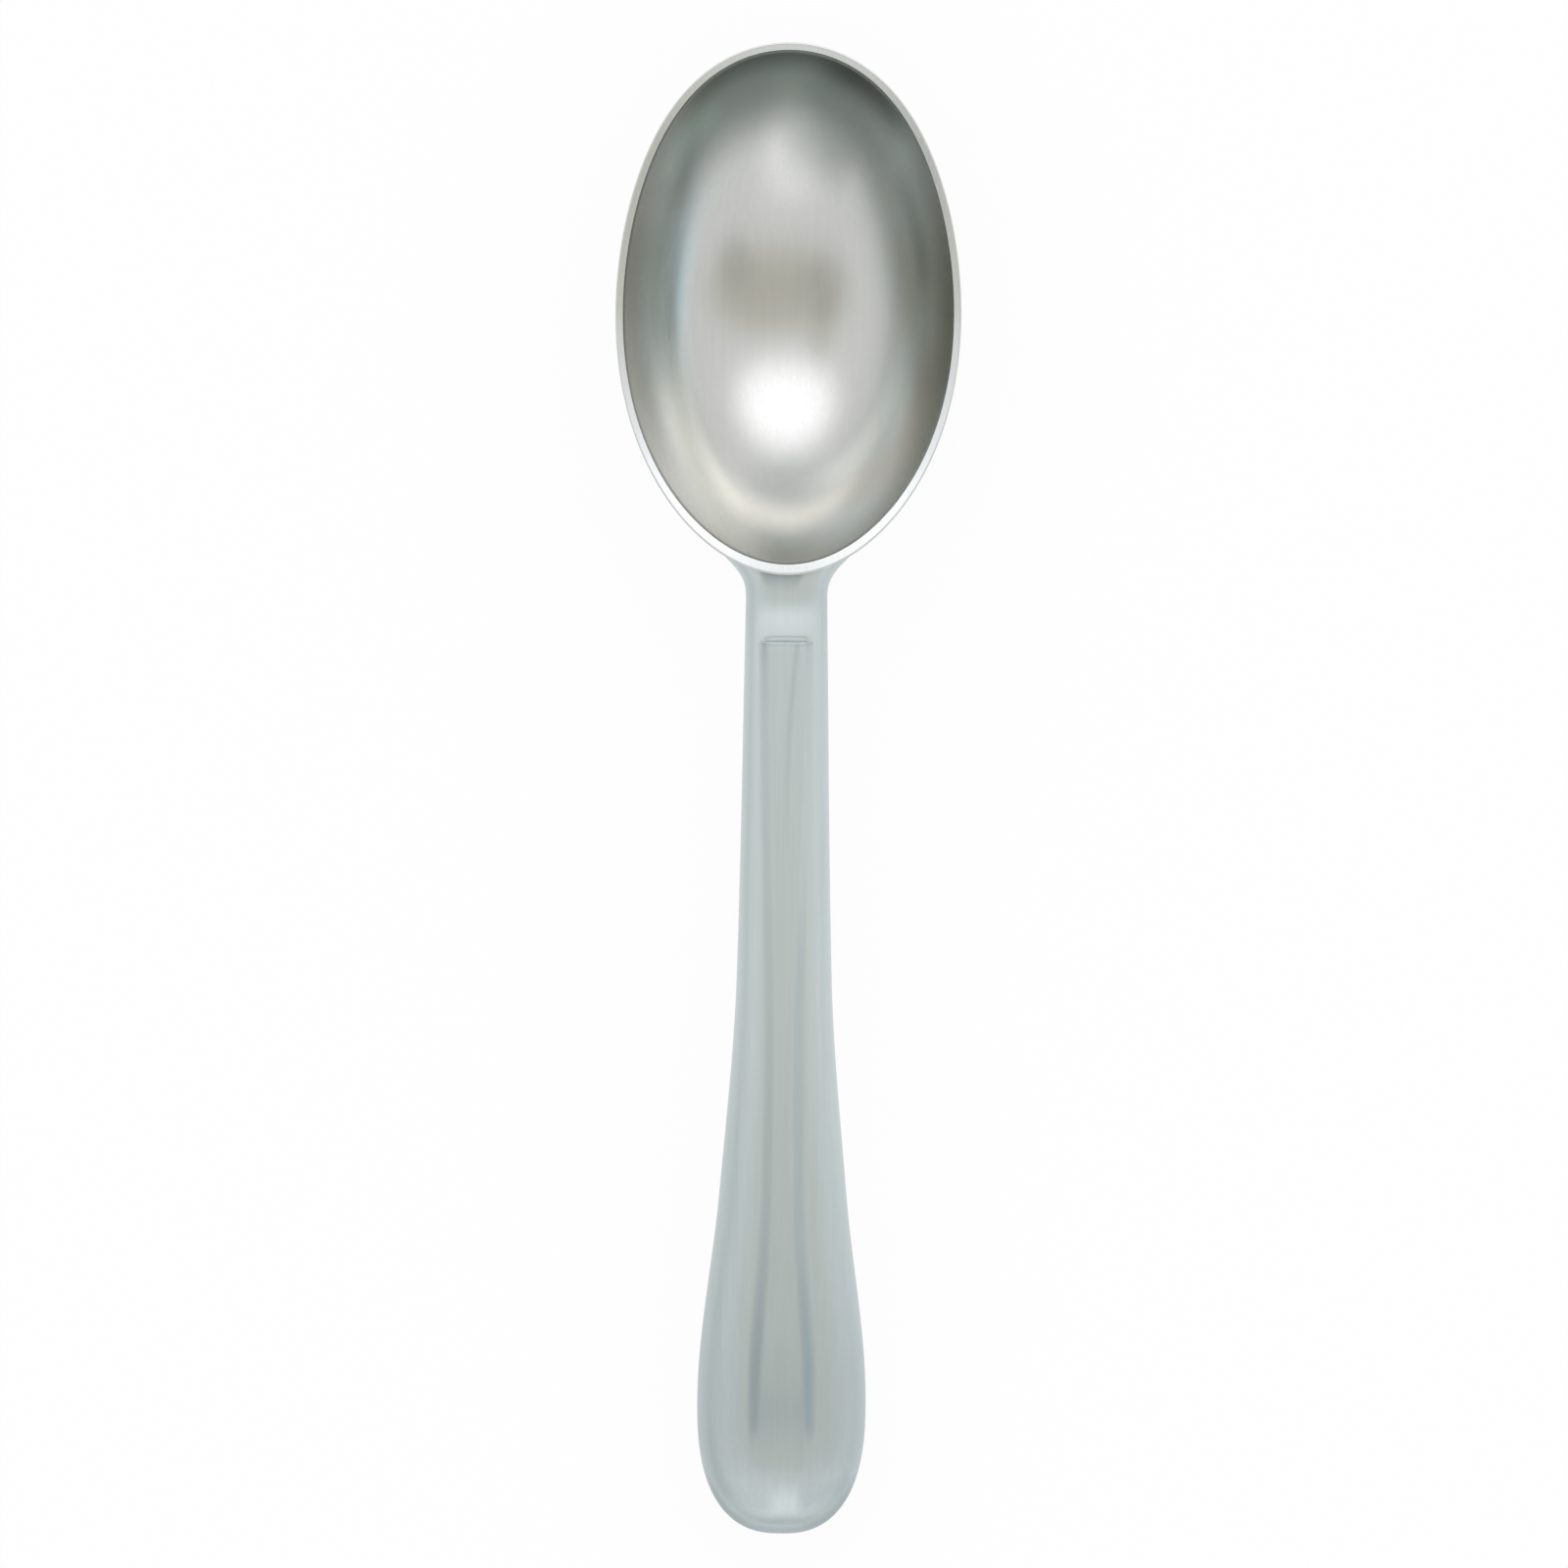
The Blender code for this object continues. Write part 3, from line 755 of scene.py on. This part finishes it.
def seamHeight(back):
    return (archTop(back) + underLine(back)) / 2


def neckDip(back):
    return h["dip"] * math.exp(-((back - h["dipBack"]) / h["dipReach"]) ** 2)


def heelFall(back):
    run = 2 * (neckBottom - heelHeight) / heelSlope
    return heelSlope * max(run - heelLength - back, 0.0) ** 2 / (2 * run)


def buttShare(back):
    return max(0.0, back - buttBack) / h["butt"]


def fluteHalf(back):
    bands = [
        (f["back"], f["startBand"]),
        (f["midBack"], f["midBand"]),
        (h["shank"], f["waistBand"]),
        (buttBack, f["buttBand"]),
    ]
    half = halfWidth(back) - ease(bands, back)
    intoCorner = f["corner"] - max(back - f["back"], 0.0)
    if intoCorner > 0:
        half -= f["corner"] - math.sqrt(f["corner"] ** 2 - intoCorner ** 2)
    return half


def fluteEdges(back):
    # where the sloping side starts and where it reaches the floor
    stations = [(f["back"], f["sideEdge"]), (h["shank"], f["waistEdge"]), (buttBack, f["buttEdge"])]
    outer = fluteHalf(back) + f["sideEdge"] / 2
    return outer, outer - ease(stations, back)


def fluteDepth(back):
    return ease([(f["back"], f["depth"]), (h["shank"], f["depth"]), (buttBack, f["buttDepth"])], back)


def fluteStart(back):
    return smoothStep((back - f["back"]) / f["startEdge"] + 0.5)


def fluteFade(back, fromButt):
    return smoothStep((handleLength - fromButt - back) / f["fade"])


def neckShade(x, back):
    # painted shadow, strongest right behind the lip
    left = 1 - max(back, 0.0) / neckPaintedShadow["length"]
    half = neckPaintedShadow["halfWidth"] * (1 + left) / 2
    off = abs(x - neckPaintedShadow["aside"])
    return neckPaintedShadow["shade"] * left ** 2 * smoothStep((half - off) / neckPaintedShadow["soft"] + 0.5)


def fluteShade(x, back):
    # painted shade of the flute's step, its two lines, its floor and a faint reflection line on it
    finish = flutePaintedShade
    outer, inner = fluteEdges(back)
    wide = outer - inner
    within = smoothStep((outer - abs(x)) / wide)
    offLine = abs(x) - inner - finish["lineShare"] * wide
    line = ease(finish["lineShade"], back) * hump(offLine / (finish["lineReach"] * wide))
    if x > 0:
        line *= ease(finish["rightLine"], back)
    floor = ease(finish["floorShade"], back) * within
    offCrease = x - ease(finish["creaseAside"], back)
    crease = ease(finish["creaseShade"], back) * hump(offCrease / finish["creaseReach"])
    step = finish["stepShade"] * hump((back - f["back"]) / finish["stepReach"]) * within
    pressed = fluteStart(back) * fluteFade(back, finish["fromButt"])
    return max(max(line, floor, crease) * pressed, step)


def bandShade(x, back):
    # painted shade and painted highlights on the bands and on the butt's end
    beside = handlePaintedLight["buttShade"] * stepBetween(back, *handlePaintedLight["buttFromTo"])
    off = abs(x - handlePaintedLight["spotAside"]) - handlePaintedLight["spot"]
    beside *= smoothStep(off / handlePaintedLight["spotSoft"])
    if x > 0:
        beside *= handlePaintedLight["rightShare"]
    shade = max(ease(handlePaintedLight["shade"], back), beside)
    share = buttShare(back)
    n = h["buttFullness"]
    out = ((abs(x) / halfWidth(back)) ** n + share ** n) ** (1 / n)     # 1 on the outline
    bright = ease(handlePaintedLight["brightRim"], out) * stepBetween(share, *handlePaintedLight["brightFromTo"])
    shade += bright * (handlePaintedLight["bright"] - shade)
    return max(shade, ease(handlePaintedLight["shadedRim"], out) * stepBetween(share, *handlePaintedLight["shadedRimFromTo"]))


def topShade(x, back):
    # painted shade of the top: the darker of the bands' and the neck's or the flute's
    pressing = neckShade if back < neckPaintedShadow["length"] else fluteShade
    return max(bandShade(x, back), pressing(x, back))


def upperArc(back, inset):
    # from +X over the top to -X, as (x, height over the seam)
    share = buttShare(back)
    narrowing = superellipse(share, h["buttFullness"])
    half = max((halfWidth(back) - inset) * narrowing, tiny)
    crown = archTop(back) - neckDip(back) - seamHeight(back) - inset
    crown *= superellipse(share, h["buttSideFullness"])
    outer, inner = (x * narrowing for x in fluteEdges(back))
    n = h["sectionFullness"]
    edgeAngle = math.acos(min(outer / half, 1.0) ** (n / 2))
    floor = crown * superellipse(outer / half, n) - fluteDepth(back)
    pressed = fluteStart(back) * fluteFade(back, f["fromButt"])
    sides, slopes, floors = loftSteps["side"], loftSteps["slope"], loftSteps["floor"]
    side = []
    for i in range(sides + 1):
        angle = edgeAngle * i / sides
        side.append((half * math.cos(angle) ** (2 / n), crown * math.sin(angle) ** (2 / n)))
    spots = [outer + (inner - outer) * i / slopes for i in range(1, slopes + 1)]
    spots += [inner * (1 - i / floors) for i in range(1, floors + 1)]
    for x in spots:
        plain = crown * superellipse(x / half, n)
        sunk = smoothStep((outer - x) / max(outer - inner, tiny)) * pressed
        side.append((x, plain + (floor - plain) * sunk))
    return side + [(-x, z) for x, z in reversed(side[:-1])]


def lowerArc(back, inset):
    # from -X under the handle to +X
    share = buttShare(back)
    half = (halfWidth(back) - inset) * superellipse(share, h["buttFullness"])
    depth = seamHeight(back) - underLine(back) + heelFall(back) - inset
    depth *= superellipse(share, h["buttSideFullness"])
    spread = h["landNeckShare"] + (1 - h["landNeckShare"]) * smoothStep(back / landBack)
    land = h["landWidth"] / h["buttWidth"] * half * spread
    n = h["sectionFullness"]
    side = []
    for i in range(loftSteps["under"] + 1):
        angle = math.pi / 2 * i / loftSteps["under"]
        x = land + (half - land) * max(math.cos(angle), 0.0) ** (2 / n)
        side.append((-x, -depth * math.sin(angle) ** (2 / n)))
    return side + [(-x, z) for x, z in reversed(side)]


def evenly(start, end, count):
    return [start + (end - start) * i / count for i in range(count)]


def shellStations():
    fineFrom = f["back"] - loftSteps["beforeFlute"]
    fineTo = f["back"] + loftSteps["pastFlute"]
    backs = evenly(neckFront, fineFrom, loftSteps["neck"])
    backs += evenly(fineFrom, fineTo, loftSteps["fluteStart"])
    backs += evenly(fineTo, buttBack, loftSteps["handle"])
    count = loftSteps["butt"]
    backs += [buttBack + h["butt"] * math.sin(math.pi / 2 * i / count) for i in range(count + 1)]
    return backs


def loft(name, rings, weldGap=1e-7):
    shape = bmesh.new()
    rows = [[shape.verts.new(point) for point in ring] for ring in rings]
    count = len(rows[0])
    for row, following in zip(rows, rows[1:]):
        for i in range(count):
            j = (i + 1) % count
            shape.faces.new((row[i], row[j], following[j], following[i]))
    shape.faces.new(rows[0])
    shape.faces.new(rows[-1])
    bmesh.ops.remove_doubles(shape, verts=shape.verts, dist=weldGap)
    bmesh.ops.recalc_face_normals(shape, faces=shape.faces)
    mesh = bpy.data.meshes.new(name)
    shape.to_mesh(mesh)
    shape.free()
    return placePiece(name, mesh)


def bowlCore():
    # the bowl's outside, a little way into its wall, as a closed body
    sink = h["sink"]
    rows, around = loftSteps["coreRows"], loftSteps["coreAround"]
    shares = [(footShare + (1 - footShare) * i / rows, sink) for i in range(rows + 1)]
    shares.append((1.0, loftSteps["coreAbove"]))
    even = (b["tipFullness"] + b["rootFullness"]) / 2
    odd = (b["tipFullness"] - b["rootFullness"]) / 2
    points = []
    for share, above in shares:
        ring = []
        for i in range(around):
            angle = 2 * math.pi * i / around
            s, c = math.sin(angle), math.cos(angle)
            x = b["width"] / 2 * c * (1 + s * s * (even + odd * s))
            y = b["length"] / 2 * s + (b["widestFromTip"] - b["length"] / 2) * s * s
            rise = b["tipRise"] if s > 0 else b["rootRise"]
            inwards = 1 - sink / math.hypot(x, y)
            z = outsideHeight(share, s) + above + rise * abs(s) ** b["rimBend"] * liftShare(share)
            ring.append(Vector((x * share * inwards, b["centreY"] + y * share * inwards, z)))
        points.append(ring)
    return loft("bowl_core", points)


def makeShell(name, arc, shadeAt, core):
    rings = []
    for back in shellStations():
        ring = []
        for inset, order in ((0.0, 1), (h["wall"], -1)):
            y = h["rootY"] - back + inset * buttShare(back)
            ring += [Vector((x, y, seamHeight(back) + z)) for x, z in arc(back, inset)[::order]]
        rings.append(ring)
    shell = loft(name, rings)
    cut = shell.modifiers.new("bowl", "BOOLEAN")
    cut.operation = "DIFFERENCE"
    cut.solver = "EXACT"
    cut.object = core
    settle(shell)
    shell.data.shade_smooth()
    shell.data.set_sharp_from_angle(angle=math.radians(h["sharpFrom"]))
    shell.data.materials.clear()
    shell.data.materials.append(satinSteel)
    # painted shade and painted highlights, stored per vertex
    paintedLight = shell.data.attributes.new("paintedLight", "FLOAT_VECTOR", "POINT")
    for vertex, value in zip(shell.data.vertices, paintedLight.data):
        shade = shadeAt(vertex.co.x, h["rootY"] - vertex.co.y)
        value.vector = [1 + shade * (dull - 1) for dull in flutePaintedShade["paintedShadeColour"]]
    return shell


core = bowlCore()
frontShell = makeShell("handle_front", upperArc, topShade, core)
backShell = makeShell("handle_back", lowerArc, bandShade, core)
bpy.data.objects.remove(core, do_unlink=True)
print("handle", len(frontShell.data.polygons) + len(backShell.data.polygons), "faces")

for piece, node, slot in (
    (bowl, "bowl", "polished_steel"),
    (frontShell, "handle_front_shell", "satin_steel"),
    (backShell, "handle_back_shell", "satin_steel"),
):
    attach(piece, "root")
    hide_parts(node)

for node, finish in (("tang", rolledSteel), ("handle_filler", cement)):
    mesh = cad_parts[node].data
    mesh.materials.clear()
    mesh.materials.append(finish)
print("pieces placed")


# studio: white light from above that dims towards the horizon, with soft patches that the steel mirrors

studio = {
    "sky": (0.935, 0.945, 0.940, 1.0),
    "horizon": (0.470, 0.515, 0.500, 1.0),
    "upwards": (0.15, 0.22, 1.0),     # the dimming leans to the left and behind the butt
    "dimFromTo": (0.05, 0.46),
    "floor": (0.94, 0.94, 0.94, 1.0),
    "floorRoughness": 0.9,
    "floorReach": 6.0,
    "floorDrop": 0.0002,      # just below the spoon's flats
    "floorWhite": 0.94,       # share of the floor's white that shadow can't darken
    "floorInSteel": 0.5,      # the same, where the steel mirrors the floor
}

anyHeight = 9.0               # a reach so long that height doesn't matter

# each lies over those before it: colour, direction, reach, softness of its edge
studioPatches = {
    "coolRight": ((0.52, 0.60, 0.62, 1.0), (0.95, -0.30, 0.12), (0.50, 0.80, 0.32), 0.9),
    "overButt": ((1.34, 1.34, 1.33, 1.0), (0.0, -0.74, 0.67), (0.32, 0.28, anyHeight), 0.9),
    "beyondPanel": ((0.70, 0.73, 0.73, 1.0), (0.0, 0.90, 0.43), (0.60, 0.14, anyHeight), 0.8),
    "lowBeyondTip": ((2.10, 2.06, 1.92, 1.0), (0.05, 0.68, 0.15), (1.20, 0.60, 0.145), 0.9),
    "darkAcross": ((0.645, 0.630, 0.545, 1.0), (0.11, -0.110, 0.99), (0.84, 0.31, anyHeight), 0.6),
    "darkRight": ((0.480, 0.475, 0.430, 1.0), (0.46, -0.24, 0.86), (0.26, 0.20, anyHeight), 0.9),
    "darkLeft": ((0.480, 0.475, 0.430, 1.0), (-0.28, -0.16, 0.94), (0.26, 0.20, anyHeight), 0.9),
    "panelOverTip": ((1.85, 1.85, 1.89, 1.0), (0.02, 0.52, 0.85), (0.58, 0.34, anyHeight), 0.6),
}


def softPatch(tree, direction, place, reach, soft):
    away = vectorCalc(tree, "SUBTRACT", direction, place)
    spread = vectorCalc(tree, "MULTIPLY", away, tuple(1 / r for r in reach))
    return easeBetween(tree, vectorCalc(tree, "LENGTH", spread), 1 - soft, 1.0, 1.0, 0.0)


def makeWorld():
    world = bpy.data.worlds.new("studio")
    bpy.context.scene.world = world
    world.use_nodes = True
    tree = world.node_tree
    back = tree.nodes["Background"]
    direction = tree.nodes.new("ShaderNodeTexCoord").outputs["Generated"]
    height = vectorCalc(tree, "DOT_PRODUCT", direction, studio["upwards"])
    clear = easeBetween(tree, height, *studio["dimFromTo"], 0.0, 1.0)
    colour = mixColours(tree, clear, studio["horizon"], studio["sky"])
    for patchColour, place, reach, soft in studioPatches.values():
        colour = mixColours(tree, softPatch(tree, direction, place, reach, soft), colour, patchColour)
    tree.links.new(colour, back.inputs["Color"])
    back.inputs["Strength"].default_value = 1.0


def makeFloor():
    mesh = bpy.data.meshes.new("floor")
    side, under = studio["floorReach"], -studio["floorDrop"]
    corners = [(-side, -side, under), (side, -side, under), (side, side, under), (-side, side, under)]
    mesh.from_pydata(corners, [], [(0, 1, 2, 3)])
    floor = placePiece("floor", mesh)
    paper = bpy.data.materials.new("white_paper")
    paper.use_nodes = True
    tree = paper.node_tree
    shader = tree.nodes["Principled BSDF"]
    shader.inputs["Base Color"].default_value = studio["floor"]
    shader.inputs["Roughness"].default_value = studio["floorRoughness"]
    shader.inputs["Specular IOR Level"].default_value = 0.0
    glow = tree.nodes.new("ShaderNodeEmission")
    glow.inputs["Strength"].default_value = 1.0
    path = tree.nodes.new("ShaderNodeLightPath").outputs
    mirrored = calc(tree, "MAXIMUM", path["Is Glossy Ray"], path["Is Transmission Ray"])
    mirrored = calc(tree, "MULTIPLY", mirrored, studio["floorInSteel"])
    seen = calc(tree, "MULTIPLY", path["Is Camera Ray"], studio["floorWhite"])
    mix = tree.nodes.new("ShaderNodeMixShader")
    tree.links.new(calc(tree, "MAXIMUM", seen, mirrored), mix.inputs[0])
    tree.links.new(shader.outputs[0], mix.inputs[1])
    tree.links.new(glow.outputs[0], mix.inputs[2])
    tree.links.new(mix.outputs[0], tree.nodes["Material Output"].inputs["Surface"])
    mesh.materials.append(paper)


makeWorld()
makeFloor()

view = {
    "away": 6.0,
    "sensor": 36.0,
    "frame": 0.2206,          # width of the picture at the height of the lip
    "middle": (-0.0002, 0.00063),
    "lip": 0.018,             # that height
    "roll": 0.37,             # degrees
}


def makeCamera():
    lens = bpy.data.cameras.new("camera")
    lens.sensor_width = view["sensor"]
    lens.lens = view["sensor"] * view["away"] / view["frame"]
    camera = placePiece("camera", lens)
    camera.location = (*view["middle"], view["lip"] + view["away"])
    camera.rotation_euler = (0.0, 0.0, math.radians(view["roll"]))
    bpy.context.scene.camera = camera


makeCamera()
bpy.context.scene.view_settings.view_transform = "Standard"
print("studio ready")
